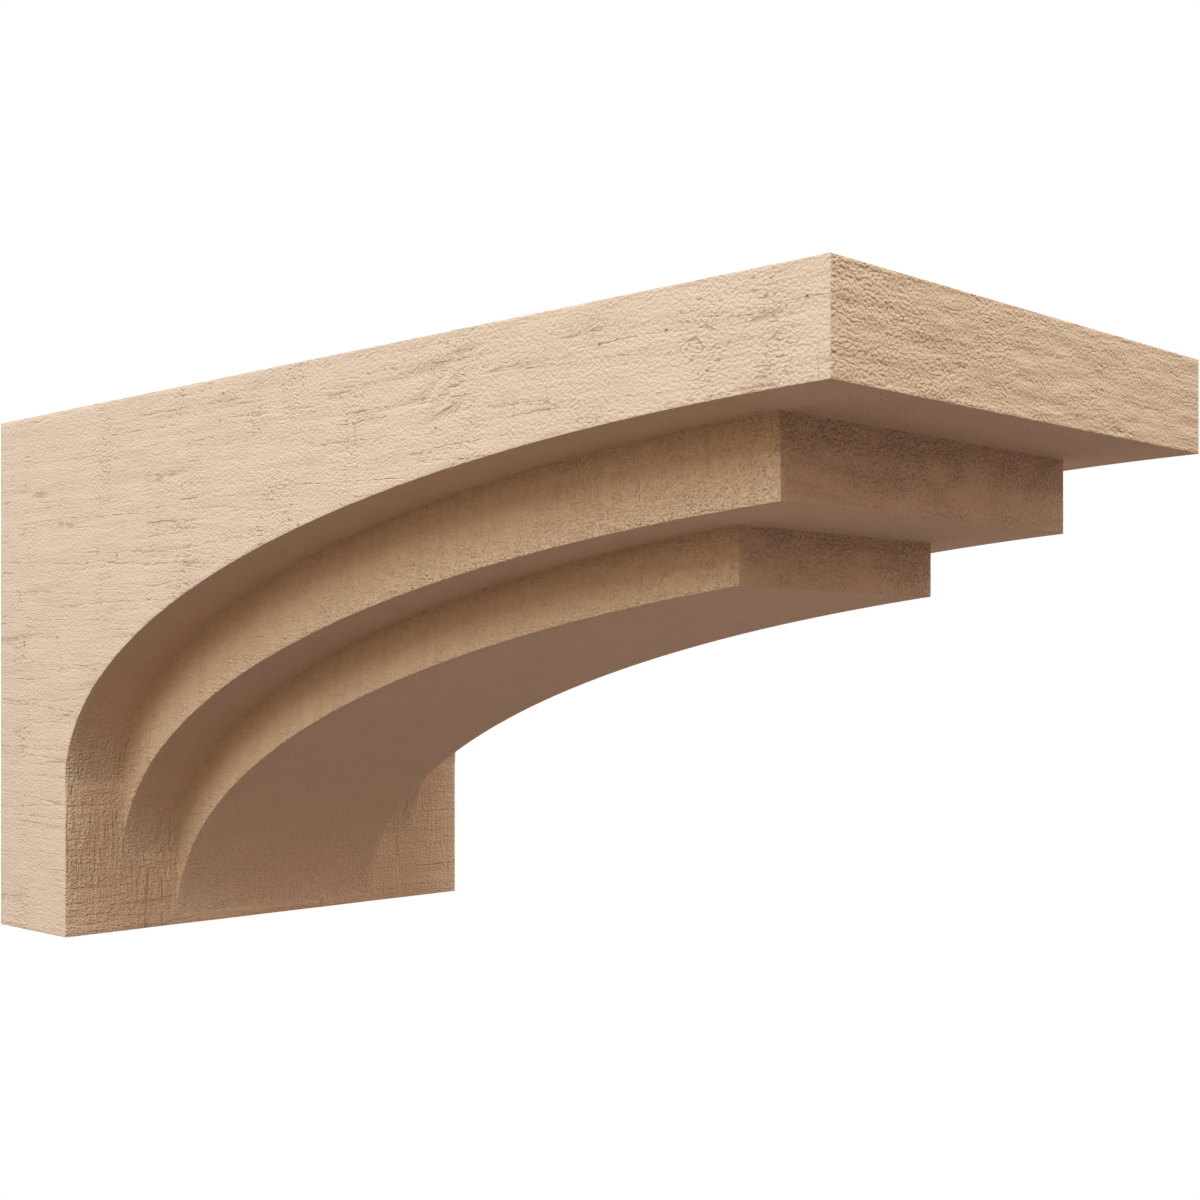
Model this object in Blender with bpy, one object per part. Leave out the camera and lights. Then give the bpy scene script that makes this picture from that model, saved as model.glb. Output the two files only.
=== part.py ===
"""Stepped corbel cast in one piece of rigid polyurethane foam, in the rough-sawn timber style.

The corbel is three tiers in one casting. Each tier is a board outline, extruded sideways: a
foot against the wall, an arched underside that leaves the foot's front face upright, and an
upright nose. The middle and lower tiers are narrower than the one above, stop short of its
nose and hang below its arch.

Metres, +Z up. The origin is the centre of the face that goes against the wall, the corbel
projects towards -Y, and +X is to the right of someone who faces it.
"""
import math

import bmesh
import bpy

# Overall sizes
WIDTH = 0.1524
HEIGHT = 0.1524
PROJECTION = 0.3048
FOOT_DEPTH = 0.0381

# Steps from each tier to the next one down
SIDE_STEP = 0.01905
NOSE_STEP = 0.0254

# Drop of each nose's lower edge: below the top, then below the edge before it
UPPER_DROP = 0.0229
MIDDLE_DROP = 0.0190
LOWER_DROP = 0.0152

# Height above the foot's underside at which each arch leaves the foot
UPPER_SPRING = 0.0450
MIDDLE_SPRING = 0.0222
LOWER_SPRING = 0.0030

# Distance past each nose at which its arch would run level
UPPER_CROWN = 0.0153
MIDDLE_CROWN = 0.0575
LOWER_CROWN = 0.1058

# Facets of each arch, and the share of the first one that a hung tier runs on into the foot
ARCH_FACETS = 44
RUN_ON = 0.25

# Paint
TAN = (0.60, 0.46, 0.33, 1.0)
PAINT_ROUGHNESS = 0.85

WELD_DISTANCE = 0.000001


def arch_points(spring, nose_reach, nose_edge, crown):
    """Points of an arched underside, as (distance from the wall, height) pairs.

    The arch is part of an ellipse that leaves the foot's front face upright at the spring
    height and passes through the nose's lower edge. Its crown lies past the nose.
    """
    span = nose_reach - FOOT_DEPTH
    half_length = span + crown
    end_angle = math.acos(1 - span / half_length)
    half_height = (nose_edge - spring) / math.sin(end_angle)
    points = []
    for step in range(ARCH_FACETS + 1):
        angle = end_angle * step / ARCH_FACETS
        reach = FOOT_DEPTH + half_length * (1 - math.cos(angle))
        points.append((reach, spring + half_height * math.sin(angle)))
    return points


def upper_outline():
    """The whole side view of the upper tier, which holds the foot and the level top."""
    nose_edge = HEIGHT - UPPER_DROP
    arch = arch_points(UPPER_SPRING, PROJECTION, nose_edge, UPPER_CROWN)
    return [(0, 0), (FOOT_DEPTH, 0)] + arch + [(PROJECTION, HEIGHT), (0, HEIGHT)]


def hung_outline(spring, nose_reach, nose_edge, crown):
    """Side view of a tier that hangs below another.

    Its top and back lie inside the upper tier. Its first facet runs on into the foot, so that
    the arch crosses the foot's front face at the spring height.
    """
    arch = arch_points(spring, nose_reach, nose_edge, crown)
    (first_reach, first_height), (next_reach, next_height) = arch[:2]
    run_on_reach = first_reach - RUN_ON * (next_reach - first_reach)
    run_on_height = first_height - RUN_ON * (next_height - first_height)
    arch[0] = (run_on_reach, run_on_height)
    hidden_top = HEIGHT - UPPER_DROP / 2
    hidden_back = FOOT_DEPTH / 2
    return [(hidden_back, spring)] + arch + [(nose_reach, hidden_top), (hidden_back, hidden_top)]


def tier_solid(name, outline, width, collection):
    """Extrude an outline sideways, about the middle of the corbel, into a closed mesh object."""
    curve = bpy.data.curves.new(name + "_outline", "CURVE")
    curve.dimensions = "2D"
    curve.fill_mode = "BOTH"
    curve.extrude = width / 2
    spline = curve.splines.new("POLY")
    spline.points.add(len(outline) - 1)
    for point, (reach, height) in zip(spline.points, outline):
        point.co = (reach, height, 0, 1)
    spline.use_cyclic_u = True
    drawn = bpy.data.objects.new(name + "_outline", curve)
    drawn.location.z = -HEIGHT / 2
    drawn.rotation_euler = (math.radians(90), 0, math.radians(-90))
    collection.objects.link(drawn)
    bpy.context.view_layer.update()

    evaluated = drawn.evaluated_get(bpy.context.evaluated_depsgraph_get())
    mesh = bpy.data.meshes.new_from_object(evaluated)
    mesh.name = name
    shell = bmesh.new()
    shell.from_mesh(mesh)
    bmesh.ops.remove_doubles(shell, verts=shell.verts, dist=WELD_DISTANCE)
    bmesh.ops.recalc_face_normals(shell, faces=shell.faces)
    shell.to_mesh(mesh)
    shell.free()
    solid = bpy.data.objects.new(name, mesh)
    solid.matrix_world = drawn.matrix_world
    collection.objects.link(solid)
    bpy.data.objects.remove(drawn)
    return solid


def join_tier(body, tier):
    """Join a hung tier to the body with a union, and keep the tier as a hidden guide."""
    tier.hide_render = True
    tier.display_type = "WIRE"
    union = body.modifiers.new("join " + tier.name, "BOOLEAN")
    union.operation = "UNION"
    union.solver = "EXACT"
    union.object = tier


def painted_foam():
    """Tan, matt paint over the foam's skin."""
    material = bpy.data.materials.new("tan painted foam")
    material.use_nodes = True
    shader = material.node_tree.nodes["Principled BSDF"]
    shader.inputs["Base Color"].default_value = TAN
    shader.inputs["Roughness"].default_value = PAINT_ROUGHNESS
    shader.inputs["Metallic"].default_value = 0
    material.diffuse_color = TAN
    return material


def new_collection(name):
    """A collection of that name, linked to the scene."""
    collection = bpy.data.collections.new(name)
    bpy.context.scene.collection.children.link(collection)
    return collection


def build():
    """Empty the scene, then model the corbel from its three tiers."""
    for old in list(bpy.data.objects):
        bpy.data.objects.remove(old, do_unlink=True)
    parts = new_collection("corbel")
    guides = new_collection("corbel tiers")

    body = tier_solid("corbel", upper_outline(), WIDTH, parts)
    body.data.materials.append(painted_foam())

    middle_reach = PROJECTION - NOSE_STEP
    middle_edge = HEIGHT - UPPER_DROP - MIDDLE_DROP
    middle = hung_outline(MIDDLE_SPRING, middle_reach, middle_edge, MIDDLE_CROWN)
    join_tier(body, tier_solid("middle_tier", middle, WIDTH - 2 * SIDE_STEP, guides))

    lower_reach = middle_reach - NOSE_STEP
    lower_edge = middle_edge - LOWER_DROP
    lower = hung_outline(LOWER_SPRING, lower_reach, lower_edge, LOWER_CROWN)
    join_tier(body, tier_solid("lower_tier", lower, WIDTH - 4 * SIDE_STEP, guides))


build()
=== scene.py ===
"""Finish of a stepped foam corbel in the rough-sawn timber style, with its studio and camera.

The casting is one closed skin of grid patches. Each patch is a flat face or an arched underside
of the corbel, pushed out and in along its normal by the relief that a coarse saw leaves. The
finer grain, fibres and pits are in the paint's shader. Metres, in the frame of the model.
"""

import math

import bpy
import numpy as np
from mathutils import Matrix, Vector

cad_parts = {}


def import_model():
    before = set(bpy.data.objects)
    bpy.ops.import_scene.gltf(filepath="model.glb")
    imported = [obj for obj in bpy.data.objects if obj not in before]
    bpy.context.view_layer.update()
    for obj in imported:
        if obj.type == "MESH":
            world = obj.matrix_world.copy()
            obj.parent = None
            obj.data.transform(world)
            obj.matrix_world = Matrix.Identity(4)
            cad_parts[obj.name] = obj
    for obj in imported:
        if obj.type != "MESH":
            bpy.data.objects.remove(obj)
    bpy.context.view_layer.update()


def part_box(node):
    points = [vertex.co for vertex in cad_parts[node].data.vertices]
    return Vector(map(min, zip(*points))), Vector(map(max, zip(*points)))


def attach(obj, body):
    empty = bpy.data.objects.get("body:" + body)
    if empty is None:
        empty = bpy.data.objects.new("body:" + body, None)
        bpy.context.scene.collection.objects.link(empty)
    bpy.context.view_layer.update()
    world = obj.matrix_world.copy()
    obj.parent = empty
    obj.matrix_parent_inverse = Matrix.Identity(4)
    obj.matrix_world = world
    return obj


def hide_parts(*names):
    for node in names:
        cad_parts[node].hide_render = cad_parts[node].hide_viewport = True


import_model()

NODE = "corbel"
BODY = "root"

LOWEST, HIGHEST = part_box(NODE)
WIDTH = HIGHEST.x - LOWEST.x
HEIGHT = HIGHEST.z - LOWEST.z
PROJECTION = -LOWEST.y

bl_info = {
    "name": "Rough-sawn corbel",
    "version": (1, 0, 0),
    "blender": (4, 5, 0),
    "location": "3D View > Sidebar > Corbel",
    "description": "Makes the sawn and painted skin of a stepped foam corbel, and its studio",
    "category": "Add Mesh",
}


# Settings

def length(name, description, default):
    """A property that holds a length in metres."""
    return bpy.props.FloatProperty(
        name=name, description=description, default=default, unit="LENGTH",
        subtype="DISTANCE", precision=5)


def tiers(name, description, default):
    """A property that holds a length for each tier, from the top one down."""
    return bpy.props.FloatVectorProperty(
        name=name, description=description, default=default, size=3, unit="LENGTH",
        precision=5)


def factor(name, description, default, most):
    """A property that holds a number from nothing to the most."""
    return bpy.props.FloatProperty(
        name=name, description=description, default=default, min=0, max=most, subtype="FACTOR")


def paint(name, description, default):
    """A property that holds a linear colour."""
    return bpy.props.FloatVectorProperty(
        name=name, description=description, default=default, size=3, min=0, max=1,
        subtype="COLOR")


class CorbelShape(bpy.types.PropertyGroup):
    """Sizes of the three tiers. The overall sizes come from the model's box."""
    foot_depth: length("Foot depth", "From the wall to the foot's front face", 0.0381)
    side_step: length("Side step", "How much narrower each side of a tier is", 0.01905)
    nose_step: length("Nose step", "How much shorter each tier is than the one above", 0.0254)
    drops: tiers("Drops", "Each nose's lower edge below the top, or below the edge before it",
                 (0.0229, 0.0190, 0.0152))
    springs: tiers("Springs", "Height at which each arch starts", (0.0450, 0.0222, 0.0030))
    crowns: tiers("Crowns", "Crown of each arch past its nose", (0.0153, 0.0575, 0.1058))


class CorbelSkin(bpy.types.PropertyGroup):
    """How finely the skin is cut, and how rough the saw left it."""
    station_step: length("Station step", "Spacing of the grid along the corbel", 0.00110)
    arch_step: length("Arch step", "Spacing round the tight start of an arch", 0.0014)
    across_step: length("Across step", "Spacing of the grid across the corbel", 0.0020)
    margin: length("Margin", "Width of the strip next to each edge", 0.00030)
    rounding: length("Rounding", "How far each edge is worn back", 0.00007)
    relief: factor("Relief", "Strength of the saw's relief", 1.0, 3)


class CorbelPaint(bpy.types.PropertyGroup):
    """Colours and roughness of the paint."""
    tan: paint("Tan", "Paint in full light", (0.64, 0.50, 0.37))
    # Painted shade: darker, redder colour for the shade that falls in pits and scratches
    painted_shade: paint("Painted shade", "Paint and dust in pits and scratches", (0.30, 0.18, 0.10))
    roughness: factor("Roughness", "Roughness of the paint", 0.8, 1)


class CorbelStudio(bpy.types.PropertyGroup):
    """Camera and floor."""
    camera_place: bpy.props.FloatVectorProperty(
        name="Camera place", description="Where the camera stands", size=3,
        default=(-0.3361, -0.4885, 0.0003), unit="LENGTH", subtype="TRANSLATION")
    camera_turn: bpy.props.FloatProperty(
        name="Camera turn", description="Turn of the level camera from facing the wall",
        default=math.radians(-45), unit="ROTATION", subtype="ANGLE")
    lens: bpy.props.FloatProperty(
        name="Lens", description="Focal length in millimetres", default=52.18)
    shift: bpy.props.FloatVectorProperty(
        name="Shift", description="Shift of the lens, right and up, as shares of the picture",
        size=2, default=(0.05677, 0.06066))
    floor_drop: length("Floor drop", "Floor below the origin", 0.45)
    floor_radius: length("Floor radius", "Radius of the floor", 0.9)
    floor_colour: paint("Floor", "Pale floor", (0.80, 0.78, 0.75))


# Curves of the side view

class SideView:
    """Lines of the side view: noses, half widths, springs and arches, from the top tier down."""

    def __init__(self, shape):
        self.foot = shape.foot_depth
        self.noses = [PROJECTION - k * shape.nose_step for k in range(3)]
        self.halves = [WIDTH / 2 - k * shape.side_step for k in range(3)]
        self.springs, self.crowns = list(shape.springs), list(shape.crowns)
        self.edges = [HEIGHT - drop for drop in np.cumsum(list(shape.drops))]

    def ellipse(self, tier, reach):
        """Half length and half height of a tier's arch, and its cosine at a reach.

        The arch is part of an ellipse that leaves the foot's front face upright at its spring.
        The cosine is 1 there and falls evenly with the reach. Half the height is what takes the
        arch through the nose's lower edge.
        """
        span = self.noses[tier] - self.foot
        half_length = span + self.crowns[tier]
        at_nose = 1 - span / half_length
        half_height = (self.edges[tier] - self.springs[tier]) / math.sqrt(1 - at_nose ** 2)
        return half_length, half_height, 1 - (reach - self.foot) / half_length

    def height(self, tier, reach):
        """Height of a tier's arch at a reach: the spring plus half the height times the sine."""
        half_height, cosine = self.ellipse(tier, reach)[1:]
        return self.springs[tier] + half_height * np.sqrt(np.clip(1 - cosine ** 2, 0, None))

    def normal(self, tier, reach):
        """Outward unit normal of a tier's arch at a reach, as (reach, height) parts.

        They are as half the height times the cosine to minus half the length times the sine.
        """
        half_length, half_height, cosine = self.ellipse(tier, reach)
        sine = np.sqrt(np.clip(1 - cosine ** 2, 0, None))
        out, down = half_height * cosine, half_length * sine
        size = np.hypot(out, down)
        return out / size, -down / size


# Grid lines

# The steep start of the upper arch is looked for within this angle
STEEP_ANGLE = 1


def line(start, stop, step, margin):
    """Values from start to stop: a margin in from each end, and even steps between."""
    low, high = start + margin, stop - margin
    cells = max(1, round((high - low) / step))
    return np.concatenate([[start], np.linspace(low, high, cells + 1), [stop]])


def join(*lines):
    """Lines laid end to end, with each shared end kept once."""
    return np.concatenate([lines[0], *[part[1:] for part in lines[1:]]])


def stations(view, skin):
    """Reaches at which the arches are cut, from the foot to the upper nose.

    They are close together at first, where the arches are steep, so that the steps round the
    upper arch stay even. Beyond that they are even, with a margin at each side of a nose.
    """
    half_length = view.noses[0] - view.foot + view.crowns[0]
    rise = view.edges[0] - view.springs[0]
    angles = np.arange(0, STEEP_ANGLE, skin.arch_step / rise)
    steep = view.foot + half_length * (1 - np.cos(angles))
    steep = steep[:1 + int(np.argmax(np.diff(steep) > skin.station_step))]
    runs = [steep]
    for stop in reversed(view.noses):
        even = line(runs[-1][-1], stop, skin.station_step, skin.margin)
        runs.append(even if len(runs) > 1 else np.delete(even, 1))
    return join(*runs)


def between(low, high, cells, margin):
    """Rows of values from the array low to the array high, with a margin at each end."""
    part = np.linspace(0, 1, cells + 1)[:, None]
    inner = (low + margin) + part * ((high - margin) - (low + margin))
    return np.vstack([low, inner, high])


# Relief

NOISE_TABLE = 256
# Beyond this a mark's depth is nothing
FAR_ENOUGH = 50


def lattice_noise(along, across, cell_along, cell_across, seed):
    """Smooth noise between -1 and 1.

    Random values stand on a lattice of the given cell. Between them each value is blended with
    its neighbours by the weight 3 f^2 - 2 f^3, where f is the part of the cell passed.
    """
    table = np.random.default_rng(seed).uniform(-1, 1, (NOISE_TABLE, NOISE_TABLE))
    across = across / cell_across
    along = along / cell_along
    row, column = np.floor(across).astype(int), np.floor(along).astype(int)
    down, right = across - row, along - column
    down, right = down * down * (3 - 2 * down), right * right * (3 - 2 * right)
    row, column = row % NOISE_TABLE, column % NOISE_TABLE
    next_row, next_column = (row + 1) % NOISE_TABLE, (column + 1) % NOISE_TABLE
    near = table[row, column] * (1 - right) + table[row, next_column] * right
    far = table[next_row, column] * (1 - right) + table[next_row, next_column] * right
    return near * (1 - down) + far * down


def bump_sum(along, across, marks):
    """Sum of long round marks: depth times exp(-(l^4 + w^2)).

    l is the distance along a mark over its half length, and w the distance across it over its
    half width, both turned by the mark's tilt.
    """
    total = np.zeros(np.broadcast(along, across).shape)
    for centre_along, centre_across, half_length, half_width, tilt, depth in marks:
        x, y = along - centre_along, across - centre_across
        far = (x * math.cos(tilt) + y * math.sin(tilt)) / half_length
        wide = (y * math.cos(tilt) - x * math.sin(tilt)) / half_width
        total += depth * np.exp(-np.minimum(far ** 4 + wide ** 2, FAR_ENOUGH))
    return total


def scatter(seed, count, along, across, long, wide, tilt, depth):
    """A list of marks at random places, each value drawn evenly from its range."""
    draw = np.random.default_rng(seed)
    ranges = [along, across, long, wide, tilt, depth]
    return np.array([draw.uniform(low, high, count) for low, high in ranges]).T


def waves(along, across, layers, seed):
    """Sum of smooth waves: each a depth times noise of a length and a width, with its own seed."""
    return sum(depth * lattice_noise(along, across, long, wide, seed + number)
               for number, (depth, long, wide) in enumerate(layers))


# A snag near the top edge, as reach, height, half length, half width, tilt and depth
SNAG = np.array([
    (0.1975, 0.1405, 0.0060, 0.0011, 0.62, -0.00034),
    (0.2020, 0.1385, 0.0055, 0.0011, 0.60, -0.00030),
    (0.1935, 0.1440, 0.0090, 0.0012, 0.06, -0.00034),
    (0.2075, 0.1470, 0.0050, 0.0013, 0.12, -0.00040),
    (0.1990, 0.1330, 0.0075, 0.0012, 0.20, -0.00026),
    (0.1900, 0.1375, 0.0070, 0.0011, 0.02, -0.00030),
])


# Waves of each kind of face, as depth, length and width
SAW_WAVES = [(0.00009, 0.022, 0.009), (0.00007, 0.011, 0.0036), (0.00005, 0.0042, 0.0027)]
NOSE_WAVES = [(0.00010, 0.012, 0.005), (0.00013, 0.0042, 0.0022)]
FOOT_WAVES = [(0.00008, 0.005, 0.004)]
ARCH_WAVES = [(0.00004, 0.018, 0.006)]
WALL_WAVES = [(0.00006, 0.009, 0.005)]

# Plates on the foot's front, which stand out or in by a depth
PLATE_DEPTH = 0.000065
PLATE_SIZE = (0.013, 0.007)

# Marks of each kind of face: how many, and the ranges of their places, half lengths, half
# widths, tilts and depths
GOUGES = {"count": 22, "along": (0, PROJECTION), "across": (0, HEIGHT),
          "long": (0.006, 0.016), "wide": (0.0012, 0.0020),
          "tilt": (-0.08, 0.08), "depth": (-0.00014, -0.00006)}
NOSE_PITS = {"count": 45, "along": (-WIDTH / 2, WIDTH / 2), "across": (0, HEIGHT),
             "long": (0.0008, 0.0030), "wide": (0.0005, 0.0010),
             "tilt": (-0.25, 0.25), "depth": (-0.00035, -0.00012)}
FOOT_CUTS = {"count": 16, "along": (-WIDTH / 2, WIDTH / 2), "across": (0.0, HEIGHT / 3),
             "long": (0.006, 0.016), "wide": (0.0004, 0.0007),
             "tilt": (1.53, 1.61), "depth": (-0.0003, -0.00015)}
WALL_PITS = {"count": 8, "along": (0, HEIGHT), "across": (0, PROJECTION),
             "long": (0.0008, 0.0014), "wide": (0.0006, 0.0010),
             "tilt": (-0.4, 0.4), "depth": (-0.00025, -0.00012)}


def sawn_relief(along, across, seed):
    """Relief of a sawn face: waves, ridges and lumps, gouges along the grain, and a snag."""
    marks = np.vstack([scatter(seed + 3, **GOUGES), SNAG])
    return waves(along, across, SAW_WAVES, seed) + bump_sum(along, across, marks)


def nose_relief(along, across, seed):
    """Relief of a nose: the saw tore the end of the board, so it is coarser and lumpier."""
    pits = scatter(seed + 2, **NOSE_PITS)
    return waves(along, across, NOSE_WAVES, seed) + bump_sum(along, across, pits)


def foot_relief(along, across, seed):
    """Relief of the foot's front face: shallow plates, soft waves and upright cuts.

    The places of the cuts along the face are drawn with a seed of their own.
    """
    plates = PLATE_DEPTH * np.sign(lattice_noise(along, across, *PLATE_SIZE, seed))
    cuts = scatter(seed + 2, **FOOT_CUTS)
    cuts[:, 0] = np.random.default_rng(seed + 3).uniform(*FOOT_CUTS["along"], len(cuts))
    return plates + waves(along, across, FOOT_WAVES, seed + 1) + bump_sum(along, across, cuts)


def wall_relief(along, across, seed):
    """Relief of a hung tier's side: soft waves, and a few pits."""
    pits = scatter(seed + 1, **WALL_PITS)
    return waves(along, across, WALL_WAVES, seed) + bump_sum(along, across, pits)


# Distances from the wall at which the saw paused
SAW_STOPS = (0.014, 0.058, 0.100, 0.133, 0.1455, 0.169, 0.207, 0.245, 0.274, 0.292)
BAND_HALF_WIDTH = 0.0062
BAND_LEVEL = 0.4
BAND_WAVES = [(1.2, 0.006, 0.007)]
BAND_SEED = 7
SNAG_SIZE = 0.012
SNAG_SHARE = 0.5


def saw_bands(reach, height, seed):
    """Share of short dashes: upright bands exp(-(d / half width)^2) where the saw paused.

    d is the distance along from a pause, and the bands fade in and out with smooth noise. The
    snag adds a round patch of its own.
    """
    away = np.stack([(reach - stop) / BAND_HALF_WIDTH for stop in SAW_STOPS])
    bands = np.exp(-away ** 2).sum(0)
    bands *= np.clip(BAND_LEVEL + waves(reach, height, BAND_WAVES, seed + BAND_SEED), 0, 1)
    snag = ((reach - SNAG[0, 0]) ** 2 + (height + HEIGHT / 2 - SNAG[0, 1]) ** 2) / SNAG_SIZE ** 2
    return bands + SNAG_SHARE * np.exp(-snag)


# Torn lumps on the upper nose and on the hung ones: the least share, and how much more there is
UPPER_TORN = (0.25, 0.75)
HUNG_TORN = (0.1, 0.8)
TORN_LENGTH = 0.028
TORN_WAVES = [(0.45, 0.008, 0.005)]
TORN_SEED = 450


def torn_share(across, height, tier):
    """Share of torn lumps on a nose.

    On the upper one it falls away from the left edge as exp(-d / torn length), and on the hung
    ones it rises evenly with the height. Smooth noise is added to it.
    """
    if tier == 0:
        least, more = UPPER_TORN
        part = np.exp(-(across - across.min()) / TORN_LENGTH)
    else:
        least, more = HUNG_TORN
        part = (height - height.min()) / np.ptp(height)
    patches = waves(across, height, TORN_WAVES, TORN_SEED + tier)
    return np.clip(least + more * part + patches, 0, 1)


# The skin

EDGE_FADE = 0.0012
EDGE_SHARE = 0.12
WELD = 1e-6
# Depth of the relief at which the painted shade in its dips is whole
DEEPEST = 0.0003
# Borders of a patch: an outer edge is worn back, an inner one is filled, and a seam is kept
BORDERS = {"o": -1, "i": 1, "s": 0}


def faded(place, borders):
    """Share of the relief at each point: it falls to EDGE_SHARE near a border that is an edge.

    Where two seams meet at a corner of a patch, an edge ends there in the patches beside it, and
    the distance to that corner counts.
    """
    near = np.full(place.shape[:2], EDGE_FADE)
    down = np.linalg.norm(np.diff(place, axis=0), axis=2)
    right = np.linalg.norm(np.diff(place, axis=1), axis=2)
    down = np.pad(np.cumsum(down, axis=0), ((1, 0), (0, 0)))
    right = np.pad(np.cumsum(right, axis=1), ((0, 0), (1, 0)))
    reaches = [down, down[-1:] - down, right, right[:, -1:] - right]
    for distance, border in zip(reaches, borders):
        if border != "s":
            near = np.minimum(near, distance)
    for row, row_border in ((0, borders[0]), (-1, borders[1])):
        for column, column_border in ((0, borders[2]), (-1, borders[3])):
            if row_border == column_border == "s":
                corner = np.linalg.norm(place - place[row, column], axis=2)
                near = np.minimum(near, corner)
    part = near / EDGE_FADE
    return EDGE_SHARE + (1 - EDGE_SHARE) * part * part * (3 - 2 * part)


class Skin:
    """Patches of one closed skin, gathered here and then welded where they meet."""

    def __init__(self, settings):
        self.settings = settings
        self.places, self.pushes, self.classes, self.grains = [], [], [], []
        self.hollows, self.roughs, self.corners, self.counts, self.kinds = [], [], [], [], []
        self.size = 0

    def patch(self, kind, place, normal, grain, relief, rough, borders, cells=None):
        """Add a grid of points with its outward normals, grain map, relief and roughness.

        borders has a letter for the first row, last row, first column and last column.
        """
        height = relief * self.settings.relief * faded(place, borders)
        height = height + self.edge_wear(place.shape[:2], borders)
        normal = np.broadcast_to(normal, place.shape)
        index = np.arange(place.shape[0] * place.shape[1]).reshape(place.shape[:2])
        if cells is None:
            quads = np.stack([index[:-1, :-1], index[:-1, 1:], index[1:, 1:], index[1:, :-1]], 2)
            cells = [quads.reshape(-1, 4)]
        spans = np.cross(place[-1, -1] - place[0, 0], place[-1, 0] - place[0, -1])
        turned = (spans * normal.mean((0, 1))).sum() < 0
        for group in cells:
            group = group[:, ::-1] if turned else group
            self.corners.append(group.ravel() + self.size)
            self.counts.append(np.full(len(group), group.shape[1]))
            self.kinds.append(np.full(len(group), kind))
        self.places.append(place.reshape(-1, 3))
        self.pushes.append((normal * height[:, :, None]).reshape(-1, 3))
        self.classes.append(np.abs(normal).argmax(2).ravel())
        self.grains.append(np.broadcast_to(grain, place.shape[:2] + (2,)).reshape(-1, 2))
        # Painted shade: how much of the relief's shade the paint gets here, from its depth
        self.hollows.append(np.clip(-relief / DEEPEST, 0, 1).ravel())
        self.roughs.append(np.broadcast_to(rough, place.shape[:2]).ravel())
        self.size += index.size

    def edge_wear(self, shape, borders):
        """How far each border line is pushed: in at an outer edge, out at an inner one."""
        wear = np.zeros(shape)
        for lines, border in zip((wear[0], wear[-1], wear[:, 0], wear[:, -1]), borders):
            lines += BORDERS[border]
        return np.clip(wear, -1, 1) * self.settings.rounding

    def mesh(self, name):
        """Weld the patches, push each point by its relief, and return the mesh.

        Where patches meet, the pushes that share a main direction are averaged, and those with
        different ones are added, so an edge moves by both of its faces' reliefs.
        """
        places = np.vstack(self.places)
        keys = np.round(places / WELD).astype(np.int64)
        found, first, index = np.unique(keys, axis=0, return_index=True, return_inverse=True)
        index = index.ravel()
        pushes, classes = np.vstack(self.pushes), np.concatenate(self.classes)
        moved = places[first]
        for axis in range(3):
            here = classes == axis
            count = np.bincount(index[here], minlength=len(found))
            for part in range(3):
                total = np.bincount(index[here], pushes[here, part], len(found))
                moved[:, part] += total / np.maximum(count, 1)
        corners = np.concatenate(self.corners)
        counts = np.concatenate(self.counts)
        used, rings = np.unique(index[corners], return_inverse=True)
        moved, rings = moved[used], rings.ravel()
        mesh = bpy.data.meshes.new(name)
        mesh.vertices.add(len(moved))
        mesh.loops.add(len(corners))
        mesh.polygons.add(len(counts))
        mesh.vertices.foreach_set("co", moved.astype(np.float32).ravel())
        mesh.loops.foreach_set("vertex_index", rings.astype(np.int32))
        starts = np.concatenate([[0], np.cumsum(counts)[:-1]])
        mesh.polygons.foreach_set("loop_start", starts.astype(np.int32))
        mesh.polygons.foreach_set("material_index", np.concatenate(self.kinds).astype(np.int32))
        layer = mesh.uv_layers.new(name="Grain")
        layer.uv.foreach_set("vector", np.vstack(self.grains)[corners].astype(np.float32).ravel())
        for key, parts in (("hollow", self.hollows), ("rough", self.roughs)):
            value = np.bincount(index, np.concatenate(parts), len(found))
            value = (value / np.bincount(index, minlength=len(found)))[used]
            attribute = mesh.attributes.new(key, "FLOAT", "POINT")
            attribute.data.foreach_set("value", value.astype(np.float32))
        mesh.update(calc_edges=True)
        mesh.validate()
        return mesh


def coarse_cells(rows, columns):
    """Cells of a grid that keeps every second line inside, and every point at its border.

    Each inner cell is a quad. A border cell also holds the point of the fine line between its
    corners, so that it meets the finer grid next to it without a gap.
    """
    def kept(count):
        """The first two lines, every second one after them, and the last two."""
        return np.unique([0, *np.arange(1, count - 2, 2), count - 2, count - 1])

    index = np.arange(rows * columns).reshape(rows, columns)
    kept_rows, kept_columns = kept(rows), kept(columns)
    coarse = index[np.ix_(kept_rows, kept_columns)]
    quads = np.stack([coarse[:-1, :-1], coarse[:-1, 1:], coarse[1:, 1:], coarse[1:, :-1]], 2)
    tall, wide = np.diff(kept_rows) == 2, np.diff(kept_columns) == 2
    whole = np.ones(quads.shape[:2], bool)
    whole[[0, -1]] = ~wide
    whole[:, [0, -1]] = ~tall[:, None]
    middle_rows, middle_columns = kept_rows[:-1][tall] + 1, kept_columns[:-1][wide] + 1
    bordering = [
        (quads[0, wide], 1, index[0, middle_columns]),
        (quads[tall, -1], 2, index[middle_rows, -1]),
        (quads[-1, wide], 3, index[-1, middle_columns]),
        (quads[tall, 0], 4, index[middle_rows, 0]),
    ]
    return [quads[whole]] + [np.insert(ring, corner, middle, axis=1)
                             for ring, corner, middle in bordering]


# Kinds of face, in the order of the finishes
SIDE, NOSE, ARCH, WALL, FOOT, PLAIN, HUNG_NOSE = range(7)
FORWARD = np.array([0.0, -1.0, 0.0])
# Way out of each side, its seed, and where its grain starts
LEFT = (-1, 100, 0.0)
RIGHT = (1, 200, 0.7)

# Cells from each tier's arch up to the one above it, or to the top
TIER_CELLS = (68, 13, 12)
FOOT_STATION_SHARE = 1.1
FOOT_ROW_STEP = 0.0011

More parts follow.
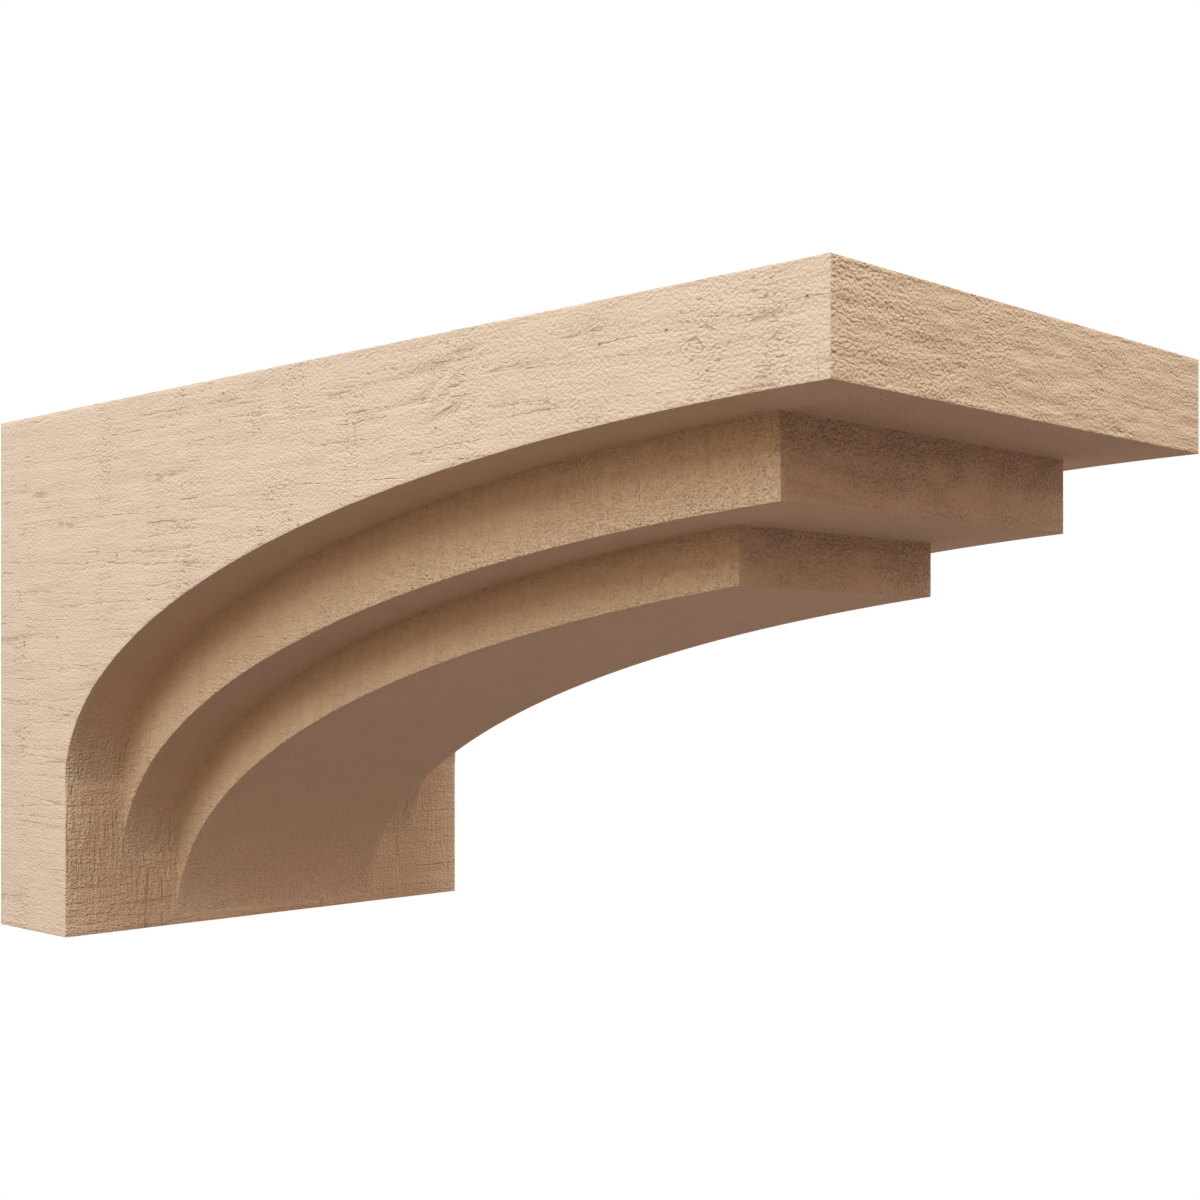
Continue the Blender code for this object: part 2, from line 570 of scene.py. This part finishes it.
# Seeds of the relief
ARCH_SEED, NOSE_SEED, FOOT_SEED, FOOT_ROUGH_SEED, HIDDEN_SEED = 300, 400, 500, 510, 600
SEED_STEP = 10

# How rough each kind of face is
WALL_ROUGH = 0.5
ARCH_ROUGH = (1.0, 1.0, 0.6)
FIBRE_LENGTH = 0.020
FOOT_ROUGH = 0.65
FOOT_ROUGH_WAVES = [(0.35, 0.012, 0.012)]
FOOT_ROUGH_FALL = 0.35
HIDDEN_ROUGH = 0.3
HIDDEN_RELIEF = 0.8


class Grid:
    """Lines that the patches share, so that they meet point to point.

    reach runs out from the wall, strips run across, and rises run up from each tier's arch to
    the one above it. travels are the lengths along the arches, and bands run up the foot's
    front. Past its own nose an arch is level, and isn't used.
    """

    def __init__(self, view, settings):
        margin, step = settings.margin, settings.across_step
        half_1, half_2, half_3 = view.halves
        self.view = view
        self.reach = stations(view, settings)
        self.ends = [int(np.searchsorted(self.reach, nose - WELD)) + 1 for nose in view.noses]
        self.arches = [
            np.where(self.reach <= nose + WELD, view.height(tier, self.reach), edge)
            for tier, (nose, edge) in enumerate(zip(view.noses, view.edges))]
        self.travels = [
            np.cumsum(np.hypot(np.diff(self.reach, prepend=self.reach[0]),
                               np.diff(arch, prepend=arch[0]))) for arch in self.arches]
        above = [np.full(len(self.reach), HEIGHT), *self.arches[:2]]
        self.rises = [between(low, high, cells, margin)
                      for low, high, cells in zip(self.arches, above, TIER_CELLS)]
        self.foot = line(0, view.foot, settings.station_step * FOOT_STATION_SHARE, margin)
        self.bands = [line(0, view.springs[2], FOOT_ROW_STEP, margin),
                      self.rises[2][:, 0], self.rises[1][:, 0]]
        outer_strip = line(half_2, half_1, step, margin)
        inner_strip = line(half_3, half_2, step, margin)
        middle = line(-half_3, half_3, step, margin)
        self.strips = [-outer_strip[::-1], -inner_strip[::-1], middle, inner_strip, outer_strip]


def world(across, reach, height):
    """Points of the model's frame from distances across, out from the wall and up."""
    across, reach, height = np.broadcast_arrays(across, reach, height)
    return np.stack([across, -reach, height - HEIGHT / 2], axis=2)


def pair(along, across):
    """A grain map, as (along, across) pairs."""
    return np.stack(np.broadcast_arrays(along, across), axis=2)


def lay_side(skin, grid, hand, seed, start):
    """Flat grids of one side: (half width, reach, height) from each arch up to the next one.

    The side of the upper tier is in three blocks: the foot, what is above it, and the board.
    """
    out = np.array([hand, 0.0, 0.0])
    blocks = [
        (grid.foot[None, :], join(*grid.bands)[:, None], "osoo"),
        (grid.foot[None, :], grid.rises[0][:, :1], "soos"),
        (grid.reach[None, :], grid.rises[0], "ooso"),
    ]
    for along, up, borders in blocks:
        place = world(hand * grid.view.halves[0], along, up)
        reach, level = -place[:, :, 1], place[:, :, 2]
        relief = sawn_relief(reach, level + HEIGHT / 2, seed)
        rough = saw_bands(reach, level, seed)
        skin.patch(SIDE, place, out, pair(reach + start, level + start), relief, rough, borders)

    for tier in (1, 2):
        end, half = grid.ends[tier], hand * grid.view.halves[tier]
        place = world(half, grid.reach[None, :end], grid.rises[tier][:, :end])
        reach, level = -place[:, :, 1], place[:, :, 2]
        relief = wall_relief(level + HEIGHT / 2, reach, seed + SEED_STEP * tier)
        grain = pair(level + start + tier, reach + start)
        skin.patch(WALL, place, out, grain, relief, WALL_ROUGH, "oiso")


def lay_undersides(skin, grid):
    """Curved grids of the arched undersides: (across, reach, height of the arch at that reach).

    An arch is cut into blocks at the nose and at the sides of the tier that hangs below it. Its
    roughness falls away from the foot as exp(-travel / fibre length).
    """
    strips = grid.strips
    blocks = []
    for tier in (0, 1):
        left, middle, right = strips[tier], join(*strips[tier + 1:4 - tier]), strips[4 - tier]
        end, below = grid.ends[tier:tier + 2]
        blocks += [
            (tier, 0, below, left, "ssoi"),
            (tier, 0, below, right, "ssio"),
            (tier, below - 1, end, left, "soos"),
            (tier, below - 1, end, middle, "ioss"),
            (tier, below - 1, end, right, "soso"),
        ]
    blocks.append((2, 0, grid.ends[2], strips[2], "sooo"))
    for tier, start, end, across, borders in blocks:
        across = across[None, :]
        reach, travel = grid.reach[start:end], grid.travels[tier][start:end, None]
        out, down = grid.view.normal(tier, reach)
        normal = np.stack([0 * out, -out, down], axis=1)[:, None, :]
        place = world(across, reach[:, None], grid.arches[tier][start:end, None])
        relief = waves(travel, across, ARCH_WAVES, ARCH_SEED + tier)
        rough = np.exp(-travel / FIBRE_LENGTH) * ARCH_ROUGH[tier]
        skin.patch(ARCH, place, normal, pair(across, travel + tier), relief, rough, borders)


def lay_noses(skin, grid):
    """Flat grids of the noses: (across, nose, height), from the arch up to the one above it."""
    for tier, (nose, end) in enumerate(zip(grid.view.noses, grid.ends)):
        columns = join(*grid.strips[tier:5 - tier])
        place = world(columns[None, :], nose, grid.rises[tier][:, end - 1:end])
        across, level = place[:, :, 0], place[:, :, 2]
        relief = nose_relief(across, level, NOSE_SEED + tier)
        kind, borders = (HUNG_NOSE, "oioo") if tier else (NOSE, "oooo")
        skin.patch(kind, place, FORWARD, pair(across + tier, level + tier), relief,
                   torn_share(across, level, tier), borders)


def lay_foot(skin, grid):
    """Flat grids of the foot's front: (across, foot depth, height), beside the hung tiers.

    Its roughness falls evenly from left to right, and varies with smooth noise.
    """
    low_band, middle_band, upper_band = grid.bands
    strips = grid.strips
    fronts = [
        (low_band, join(*strips), "osoo"),
        (middle_band, join(*strips[:2]), "ssoi"),
        (middle_band, join(*strips[3:]), "ssio"),
        (upper_band, strips[0], "ssoi"),
        (upper_band, strips[4], "ssio"),
    ]
    for rows, columns, borders in fronts:
        place = world(columns[None, :], grid.view.foot, rows[:, None])
        across, level = place[:, :, 0], place[:, :, 2]
        relief = foot_relief(across, level + HEIGHT / 2, FOOT_SEED)
        rough = FOOT_ROUGH + waves(across, level, FOOT_ROUGH_WAVES, FOOT_ROUGH_SEED)
        rough = rough * (FOOT_ROUGH - FOOT_ROUGH_FALL * across / grid.view.halves[0])
        skin.patch(FOOT, place, FORWARD, pair(across, level), relief, rough, borders)


def lay_hidden(skin, grid):
    """Flat grids of the top, the foot's underside and the back, with every second line."""
    across = join(*grid.strips)[None, :]
    whole_reach = join(grid.foot, grid.reach)
    back_rows = join(*grid.bands, grid.rises[0][:, 0])
    faces = [
        (world(across, whole_reach[:, None], HEIGHT), (0, 0, 1), (1, 0)),
        (world(across, grid.foot[:, None], 0), (0, 0, -1), (0, 1)),
        (world(across, 0, back_rows[:, None]), (0, 1, 0), (0, 2)),
    ]
    for number, (place, normal, axes) in enumerate(faces):
        along, aside = place[:, :, axes[0]], place[:, :, axes[1]]
        seed = HIDDEN_SEED + SEED_STEP * number
        relief = HIDDEN_RELIEF * sawn_relief(np.abs(along), aside, seed)
        skin.patch(PLAIN, place, np.array(normal, float), pair(along + 2 * number, aside),
                   relief, HIDDEN_ROUGH, "oooo", coarse_cells(*place.shape[:2]))


def build_skin(view, settings):
    """Lay out every face of the corbel as a patch."""
    skin, grid = Skin(settings), Grid(view, settings)
    lay_side(skin, grid, *LEFT)
    lay_side(skin, grid, *RIGHT)
    lay_undersides(skin, grid)
    lay_noses(skin, grid)
    lay_foot(skin, grid)
    lay_hidden(skin, grid)
    return skin


# Paint

# Noise of each kind of mark: length along and width across the grain, detail, roughness, and
# a shift that sets it apart from the others
LAYERS = {
    "wander": (0.006, 0.005, 2, 0.5, 3),
    "grain": (0.0009, 0.0008, 1, 0.5, 0),
    "ridge": (0.036, 0.003, 3, 0.58, 4),
    "upright": (0.0011, 0.0075, 2, 0.6, 6),
    "chip": (0.0024, 0.0008, 1, 0.5, 5),
    "break": (0.022, 0.004, 2, 0.5, 7),
    "streak": (0.11, 0.0046, 1, 0.4, 9),
    "dash": (0.0026, 0.0009, 1, 0.45, 17),
    "row": (0.06, 0.0035, 2, 0.5, 19),
    "cut": (0.016, 0.12, 1, 0.4, 21),
    "cut patch": (0.02, 0.012, 1, 0.5, 25),
    "slash": (0.03, 0.0034, 1, 0.4, 41),
    "slash break": (0.005, 0.003, 1, 0.5, 43),
    "tint": (0.016, 0.01, 3, 0.55, 31),
}
SHIFT_WAY = (1.0, 2.3, 3.1)
# Levels of a layer at which its mask is 0 and 1
MASKS = {"chip": (0.38, 0.60), "break": (0.38, 0.62), "dash": (0.54, 0.70),
         "row": (0.52, 0.66), "cut patch": (0.50, 0.62), "slash break": (0.46, 0.54)}
THREADS = {"streak": 0.046, "cut": 0.010, "slash": 0.045}
# Round marks: cells per metre along and across the grain, and the distances from a cell's
# middle at which the mark is whole and gone
CELLS = {"sand": (1250, 1450, 0, 0.85), "lump": (750, 1100, 0.05, 0.7),
         "pit": (60, 75, 0.012, 0.032), "speck": (400, 400, 0.1, 0.2)}
# Random values of a cell at which it has no hole and a whole one
HOLDING = {"pit": (0.84, 0.86), "speck": (0.55, 0.60)}


class Tree:
    """Short ways to add nodes to a node tree and to join them."""

    def __init__(self, tree):
        self.tree = tree

    def add(self, kind, inputs=None, **settings):
        """Add a node, with its settings, and values or other nodes' outputs as its inputs."""
        node = self.tree.nodes.new("ShaderNode" + kind)
        for name, value in settings.items():
            setattr(node, name, value)
        for name, value in (inputs or {}).items():
            self.join(value, node.inputs[name])
        return node

    def join(self, value, socket):
        """Link an output to a socket, or set the socket to a plain value."""
        if isinstance(value, bpy.types.NodeSocket):
            self.tree.links.new(value, socket)
        else:
            socket.default_value = value

    def math(self, operation, *values):
        """The result of a math node."""
        node = self.add("Math", dict(enumerate(values)), operation=operation)
        return node.outputs[0]

    def product(self, first, *others):
        """All the values multiplied together."""
        for other in others:
            first = self.math("MULTIPLY", first, other)
        return first

    def vector(self, operation, *values):
        """The result of a vector math node."""
        node = self.add("VectorMath", dict(enumerate(values)), operation=operation)
        return node.outputs[0]

    def scaled(self, vector, factor):
        """A vector or colour times a value."""
        node = self.add("VectorMath", {0: vector, "Scale": factor}, operation="SCALE")
        return node.outputs[0]

    def ramp(self, value, low, high, bottom=0.0, top=1.0):
        """Value turned smoothly from bottom to top as it goes from low to high."""
        inputs = {"Value": value, "From Min": low, "From Max": high, "To Min": bottom,
                  "To Max": top}
        node = self.add("MapRange", inputs, interpolation_type="SMOOTHSTEP")
        return node.outputs["Result"]

    def noise(self, vector, name):
        """Noise of a named layer, between 0 and 1."""
        along, across, detail, rough, shift = LAYERS[name]
        place = tuple(shift * part for part in SHIFT_WAY)
        stretched = self.vector("MULTIPLY_ADD", vector, (1 / along, 1 / across, 1), place)
        node = self.add("TexNoise", {
            "Vector": stretched, "Scale": 1.0, "Detail": detail, "Roughness": rough})
        return node.outputs[0]

    def waves(self, vector, name):
        """Noise of a named layer, about 0."""
        return self.math("SUBTRACT", self.noise(vector, name), 0.5)

    def mask(self, vector, name, bottom=0.0, top=1.0):
        """Patches of a named layer: top where it is past its levels, and bottom before them."""
        return self.ramp(self.noise(vector, name), *MASKS[name], bottom, top)

    def threads(self, vector, name):
        """Thin lines that wander through the contours of stretched noise: 1 on a line."""
        away = self.math("ABSOLUTE", self.waves(vector, name))
        return self.ramp(away, 0.0, THREADS[name], bottom=1.0, top=0.0)

    def rounds(self, vector, name):
        """Round marks, one in each cell: 1 at its middle. Also the cells' random colours."""
        along, across, inner, outer = CELLS[name]
        place = self.vector("MULTIPLY", vector, (along, across, 1.0))
        cells = self.add("TexVoronoi", {"Vector": place, "Scale": 1.0},
                         voronoi_dimensions="2D").outputs
        return self.ramp(cells["Distance"], inner, outer, bottom=1.0, top=0.0), cells["Color"]

    def bumps(self, vector, name):
        """Round marks in every cell, about 0."""
        return self.math("SUBTRACT", self.rounds(vector, name)[0], 0.5)

    def holes(self, vector, name):
        """Round marks in some of the cells: 1 at the middle of a hole."""
        hole, colour = self.rounds(vector, name)
        value = self.add("SeparateColor", {"Color": colour}).outputs["Red"]
        return self.product(hole, self.ramp(value, *HOLDING[name]))


def new_tree(owner):
    """The empty node tree of a material or of the surroundings."""
    owner.use_nodes = True
    owner.node_tree.nodes.clear()
    return Tree(owner.node_tree)


MARKS = ("Grain", "Lump", "Ridge", "Upright", "Streak", "Dash", "Cut", "Pit", "Speck", "Slash")
WANDER_WIDTH = 0.0016
SAND_SHARE = 0.35
SMOOTH_LUMP_SHARE = 0.15
CHIP_GAP_SHARE = 0.2
ROW_SHARE = 0.7
SPECK_ROUGH = (0.15, 0.50)
SNAG_PLACE = (0.1990, 0.0615, 0.0)
SNAG_TILT = 0.50
SNAG_REACH = (0.004, 0.011)
ROUGH_GAIN = 0.6
FINE_SHARE = 0.5
# Levels of the grain at which its painted shade starts and is whole
PAINTED_SHADE_LEVELS = (-0.00002, -0.00017)


def grain_group():
    """Node group of the moulded grain, from a map of metres along and across the grain.

    Grain is fine noise, lumps are round bumps, ridges are noise stretched along, and uprights
    are noise stretched across. Streaks are thin broken valleys, dashes are short ones, and cuts
    are thin upright lines. Pits are sparse round holes, specks are smaller, closer ones, and
    slashes are tilted lines about the snag. Rough is the share of the lumps, uprights, dashes
    and specks. Height is the sum in metres. Painted shade is 1 where the marks and half the
    grain, less the relief's shade, are lowest: it darkens the paint there as painted shade. Tint
    is slow noise about 0.
    """
    group = bpy.data.node_groups.new("rough sawn grain", "ShaderNodeTree")
    group.interface.new_socket("Vector", in_out="INPUT", socket_type="NodeSocketVector")
    for name in ("Rough", "Relief shade", "Size", *(mark + " depth" for mark in MARKS)):
        socket = group.interface.new_socket(name, in_out="INPUT", socket_type="NodeSocketFloat")
        socket.default_value = 1.0 if name == "Size" else 0.0
    for name in ("Height", "Painted shade", "Tint"):
        group.interface.new_socket(name, in_out="OUTPUT", socket_type="NodeSocketFloat")
    tree = Tree(group)
    given = group.nodes.new("NodeGroupInput").outputs
    result = group.nodes.new("NodeGroupOutput").inputs
    rough = given["Rough"]
    straight = tree.scaled(given["Vector"], tree.math("DIVIDE", 1.0, given["Size"]))
    wander = tree.product(tree.waves(straight, "wander"), WANDER_WIDTH)
    wavy = tree.vector("ADD", straight, tree.add("CombineXYZ", {"Y": wander}).outputs[0])

    grain = tree.math("MULTIPLY_ADD", tree.bumps(straight, "sand"), SAND_SHARE,
                      tree.waves(straight, "grain"))
    lump = tree.product(tree.bumps(wavy, "lump"), tree.ramp(rough, 0.0, 1.0, SMOOTH_LUMP_SHARE))
    ridge = tree.waves(wavy, "ridge")
    upright = tree.product(tree.waves(straight, "upright"), rough)
    streak = tree.product(tree.mask(wavy, "break"), tree.mask(wavy, "chip", CHIP_GAP_SHARE),
                          tree.threads(wavy, "streak"))
    rows = tree.mask(wavy, "row", top=ROW_SHARE)
    dash = tree.product(tree.math("MAXIMUM", rough, rows), tree.mask(wavy, "dash"))
    cut = tree.product(tree.threads(straight, "cut"), tree.mask(straight, "cut patch"))
    pit = tree.holes(straight, "pit")
    speck = tree.product(tree.holes(straight, "speck"), tree.ramp(rough, *SPECK_ROUGH))
    turned = tree.add("VectorRotate", {"Vector": wavy, "Angle": -SNAG_TILT},
                      rotation_type="Z_AXIS").outputs[0]
    away = tree.add("VectorMath", {0: straight, 1: SNAG_PLACE}, operation="DISTANCE")
    slash = tree.product(tree.threads(turned, "slash"), tree.mask(turned, "slash break"),
                         tree.ramp(away.outputs["Value"], *SNAG_REACH, bottom=1.0, top=0.0))

    height = tree.product(lump, given["Lump depth"])
    for mark, name in ((ridge, "Ridge"), (upright, "Upright")):
        height = tree.math("MULTIPLY_ADD", mark, given[name + " depth"], height)
    for mark, name in ((streak, "Streak"), (dash, "Dash"), (cut, "Cut"), (pit, "Pit"),
                       (speck, "Speck"), (slash, "Slash")):
        height = tree.math("SUBTRACT", height, tree.product(mark, given[name + " depth"]))
    gain = tree.math("MULTIPLY_ADD", rough, ROUGH_GAIN, 1.0)
    fine = tree.product(grain, gain, given["Grain depth"])
    tree.join(tree.math("ADD", height, fine), result["Height"])
    # Painted shade: 1 where the marks and half the grain, less the relief's shade, are lowest
    level = tree.math("MULTIPLY_ADD", fine, FINE_SHARE, height)
    level = tree.math("SUBTRACT", level, given["Relief shade"])
    tree.join(tree.ramp(level, *PAINTED_SHADE_LEVELS), result["Painted shade"])
    tree.join(tree.waves(straight, "tint"), result["Tint"])
    return group


HUNDREDTH_MM = 0.00001
# Depth in hundredths of a millimetre of each kind of mark on each kind of face
FINISHES = {
    "sawn side": {"Grain": 23, "Ridge": 34, "Streak": 14, "Dash": 12, "Cut": 6, "Pit": 40,
                  "Speck": 9, "Slash": 13},
    "torn nose": {"Grain": 17, "Lump": 10, "Ridge": 45, "Streak": 6, "Dash": 7, "Pit": 30,
                  "Speck": 10},
    "underside": {"Grain": 44, "Lump": 6, "Ridge": 28, "Upright": 120, "Dash": 4, "Pit": 40},
    "tier side": {"Grain": 54, "Lump": 20, "Ridge": 60, "Upright": 80, "Streak": 14, "Dash": 40,
                  "Pit": 30},
    "foot front": {"Grain": 36, "Lump": 6, "Ridge": 80, "Upright": 190, "Streak": 24, "Cut": 60,
                   "Pit": 20},
    "plain face": {"Grain": 15, "Ridge": 36, "Streak": 6, "Pit": 20},
    "hung nose": {"Grain": 46, "Lump": 50, "Ridge": 90, "Pit": 30},
}
# How large the marks are, where they aren't of the usual size
SIZES = {"tier side": 0.8}
# Painted shade: share of the shade colour in the deepest places, where shade falls in them
PAINTED_SHADE_SHARES = {"sawn side": 0.46, "torn nose": 0.35, "underside": 0.15, "tier side": 0.15,
                  "foot front": 0.09, "plain face": 0.4, "hung nose": 0.20}
TINT_SHARE = 0.12
# Painted light and shade: the paint of the faces under the tiers is made warmer,
# and the foot's front a little brighter, for the warm light bounced under the tiers
SHADE_TINTS = {"tier side": (1.04, 0.99, 0.88), "foot front": (1.06, 1.01, 0.97)}
# Painted shade: how far the relief's shade lowers the level of the grain's painted shade
RELIEF_SHADE_DEPTH = 0.00002
SPECULAR = 0.25
# Places of the sockets of a node that mixes colours
MIX_SHARE, MIX_FIRST, MIX_SECOND, MIX_RESULT = 0, 6, 7, 2


def painted_finish(name, depths, group, colours):
    """Matt paint over the grain, darker and redder in its streaks, pits and gouges."""
    material = bpy.data.materials.new(name)
    tree = new_tree(material)
    grain_map = tree.add("UVMap", uv_map="Grain").outputs["UV"]
    # Painted shade from the dips in the relief
    hollow = tree.add("Attribute", attribute_name="hollow").outputs["Fac"]
    rough = tree.add("Attribute", attribute_name="rough").outputs["Fac"]
    given = {"Vector": grain_map, "Relief shade": tree.product(hollow, RELIEF_SHADE_DEPTH), "Rough": rough,
             "Size": SIZES.get(name, 1.0)}
    given.update((mark + " depth", depth * HUNDREDTH_MM) for mark, depth in depths.items())
    grain = tree.add("Group", given, node_tree=group)
    # Painted shade: darker, redder paint where the grain is lowest
    painted_shade = tree.product(grain.outputs["Painted shade"], PAINTED_SHADE_SHARES[name])
    # Painted light and shade: some faces' paint is tinted warmer
    shade_tint = SHADE_TINTS.get(name, (1.0, 1.0, 1.0))
    tan = [value * warmer for value, warmer in zip(colours.tan, shade_tint)]
    mixed = tree.add("Mix", data_type="RGBA", inputs={
        MIX_SHARE: painted_shade, MIX_FIRST: (*tan, 1.0), MIX_SECOND: (*colours.painted_shade, 1.0)})
    shade = tree.math("MULTIPLY_ADD", grain.outputs["Tint"], TINT_SHARE, 1.0)
    tinted = tree.scaled(mixed.outputs[MIX_RESULT], shade)
    bump = tree.add("Bump", {"Height": grain.outputs["Height"], "Distance": 1.0, "Strength": 1.0})
    shader = tree.add("BsdfPrincipled", {
        "Base Color": tinted, "Roughness": colours.roughness, "Metallic": 0.0,
        "Specular IOR Level": SPECULAR, "Normal": bump.outputs["Normal"]})
    tree.add("OutputMaterial", {"Surface": shader.outputs[0]})
    return material


# Studio

# Name, turn and rise in degrees, power in watts and linear colour
LIGHTS = [
    ("left glow", -90, 10, 2.5, (1.00, 0.80, 0.52)),
    ("left softbox", -90, 35, 15.0, (0.90, 0.95, 1.00)),
    ("near softbox", -45, 20, 4.1, (1.00, 0.81, 0.54)),
    ("near upper softbox", -45, 50, 5.0, (0.78, 0.99, 1.00)),
    ("front upper softbox", 0, 60, 20.1, (0.94, 1.00, 0.94)),
    ("front right glow", 45, 10, 2.6, (1.00, 0.72, 0.49)),
    ("right softbox", 90, 20, 18.0, (1.00, 0.97, 0.93)),
    ("low right glow", 90, -30, 1.2, (0.94, 1.00, 0.68)),
    ("rear left softbox", -120, 10, 3.8, (1.00, 1.00, 0.85)),
    ("rear left upper softbox", -120, 40, 5.3, (0.02, 0.45, 1.00)),
    ("back fill", 180, 15, 8.0, (1.00, 0.94, 0.82)),
    ("low back glow", 180, -30, 2.0, (1.00, 0.82, 0.36)),
]
LIGHT_DISTANCE = 1.6
SOFTBOX_SIZE = 0.8
AMBIENT = (1.00, 0.66, 0.57)
AMBIENT_STRENGTH = 0.264
FLOOR_SIDES = 96
FLOOR_ROUGHNESS = 0.9
SHARP_ANGLE = 48
SENSOR_WIDTH = 36
CLIP_START = 0.01


def linked(name, data):
    """A new object, linked to the scene."""
    made = bpy.data.objects.new(name, data)
    bpy.context.collection.objects.link(made)
    return made


def soft_light(name, turn, rise, power, colour):
    """A square softbox that faces the middle of the corbel, at a turn from its front."""
    data = bpy.data.lights.new(name, "AREA")
    data.shape = "SQUARE"
    data.size = SOFTBOX_SIZE
    data.energy = power
    data.color = colour
    lamp = linked(name, data)
    turn, rise = math.radians(turn), math.radians(rise)
    away = np.array([math.sin(turn) * math.cos(rise), -math.cos(turn) * math.cos(rise),
                     math.sin(rise)])
    lamp.location = np.array([0, -PROJECTION / 2, 0]) + away * LIGHT_DISTANCE
    lamp.rotation_euler = (math.radians(90) - rise, 0, turn)
    lamp.visible_camera = False


def disc(name, radius, height):
    """A level disc: one ring of points at equal turns, with one face."""
    turn = np.linspace(0, 2 * math.pi, FLOOR_SIDES, endpoint=False)
    points = np.stack([radius * np.cos(turn), radius * np.sin(turn) - PROJECTION / 2,
                       np.full(FLOOR_SIDES, height)], axis=1)
    mesh = bpy.data.meshes.new(name)
    mesh.from_pydata(points.tolist(), [], [list(range(FLOOR_SIDES))])
    return mesh


class CORBEL_OT_casting(bpy.types.Operator):
    """Make the corbel's sawn and painted skin, in place of the model's plain one"""
    bl_idname = "corbel.casting"
    bl_label = "Corbel casting"

    def execute(self, context):
        scene = context.scene
        skin = build_skin(SideView(scene.corbel_shape), scene.corbel_skin)
        mesh = skin.mesh("corbel_casting")
        mesh.shade_smooth()
        mesh.set_sharp_from_angle(angle=math.radians(SHARP_ANGLE))
        group = grain_group()
        for name, depths in FINISHES.items():
            mesh.materials.append(painted_finish(name, depths, group, scene.corbel_paint))
        piece = linked("corbel_casting", mesh)
        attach(piece, BODY)
        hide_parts(NODE)
        return {"FINISHED"}


class CORBEL_OT_studio(bpy.types.Operator):
    """Make the floor, the lights, the white surroundings and the camera"""
    bl_idname = "corbel.studio"
    bl_label = "Studio"

    def execute(self, context):
        scene = context.scene
        studio = scene.corbel_studio
        floor = linked("floor", disc("floor", studio.floor_radius, -studio.floor_drop))
        material = bpy.data.materials.new("pale floor")
        material.use_nodes = True
        shader = material.node_tree.nodes["Principled BSDF"]
        shader.inputs["Base Color"].default_value = (*studio.floor_colour, 1)
        shader.inputs["Roughness"].default_value = FLOOR_ROUGHNESS
        floor.data.materials.append(material)
        floor.visible_diffuse = False
        floor.visible_shadow = False

        for values in LIGHTS:
            soft_light(*values)

        scene.world = bpy.data.worlds.new("studio")
        tree = new_tree(scene.world)
        seen = tree.add("Background", {"Color": (1, 1, 1, 1), "Strength": 1.0})
        lit = tree.add("Background", {"Color": (*AMBIENT, 1), "Strength": AMBIENT_STRENGTH})
        path = tree.add("LightPath").outputs["Is Camera Ray"]
        both = tree.add("MixShader", {0: path, 1: lit.outputs[0], 2: seen.outputs[0]})
        tree.add("OutputWorld", {"Surface": both.outputs[0]})
        scene.view_settings.view_transform = "Standard"

        data = bpy.data.cameras.new("camera")
        data.lens = studio.lens
        data.sensor_width = SENSOR_WIDTH
        data.shift_x, data.shift_y = studio.shift
        data.clip_start = CLIP_START
        camera = linked("camera", data)
        camera.location = studio.camera_place
        camera.rotation_euler = (math.radians(90), 0, studio.camera_turn)
        scene.camera = camera
        return {"FINISHED"}


class CORBEL_PT_panel(bpy.types.Panel):
    """Sidebar panel with the corbel's settings and its operators"""
    bl_idname = "CORBEL_PT_panel"
    bl_label = "Corbel"
    bl_space_type = "VIEW_3D"
    bl_region_type = "UI"
    bl_category = "Corbel"

    def draw(self, context):
        for name in SETTINGS:
            box = self.layout.box()
            settings = getattr(context.scene, name)
            for key in settings.__annotations__:
                box.prop(settings, key)
        for operator in OPERATORS:
            self.layout.operator(operator.bl_idname)


SETTINGS = {"corbel_shape": CorbelShape, "corbel_skin": CorbelSkin, "corbel_paint": CorbelPaint,
            "corbel_studio": CorbelStudio}
OPERATORS = [CORBEL_OT_casting, CORBEL_OT_studio]


def register():
    for name, group in SETTINGS.items():
        bpy.utils.register_class(group)
        setattr(bpy.types.Scene, name, bpy.props.PointerProperty(type=group))
    for kind in [*OPERATORS, CORBEL_PT_panel]:
        bpy.utils.register_class(kind)


def unregister():
    for kind in [CORBEL_PT_panel, *OPERATORS]:
        bpy.utils.unregister_class(kind)
    for name, group in SETTINGS.items():
        delattr(bpy.types.Scene, name)
        bpy.utils.unregister_class(group)


def main():
    """Register the add-on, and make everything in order."""
    register()
    bpy.ops.corbel.casting()
    bpy.ops.corbel.studio()


if __name__ == "__main__":
    main()
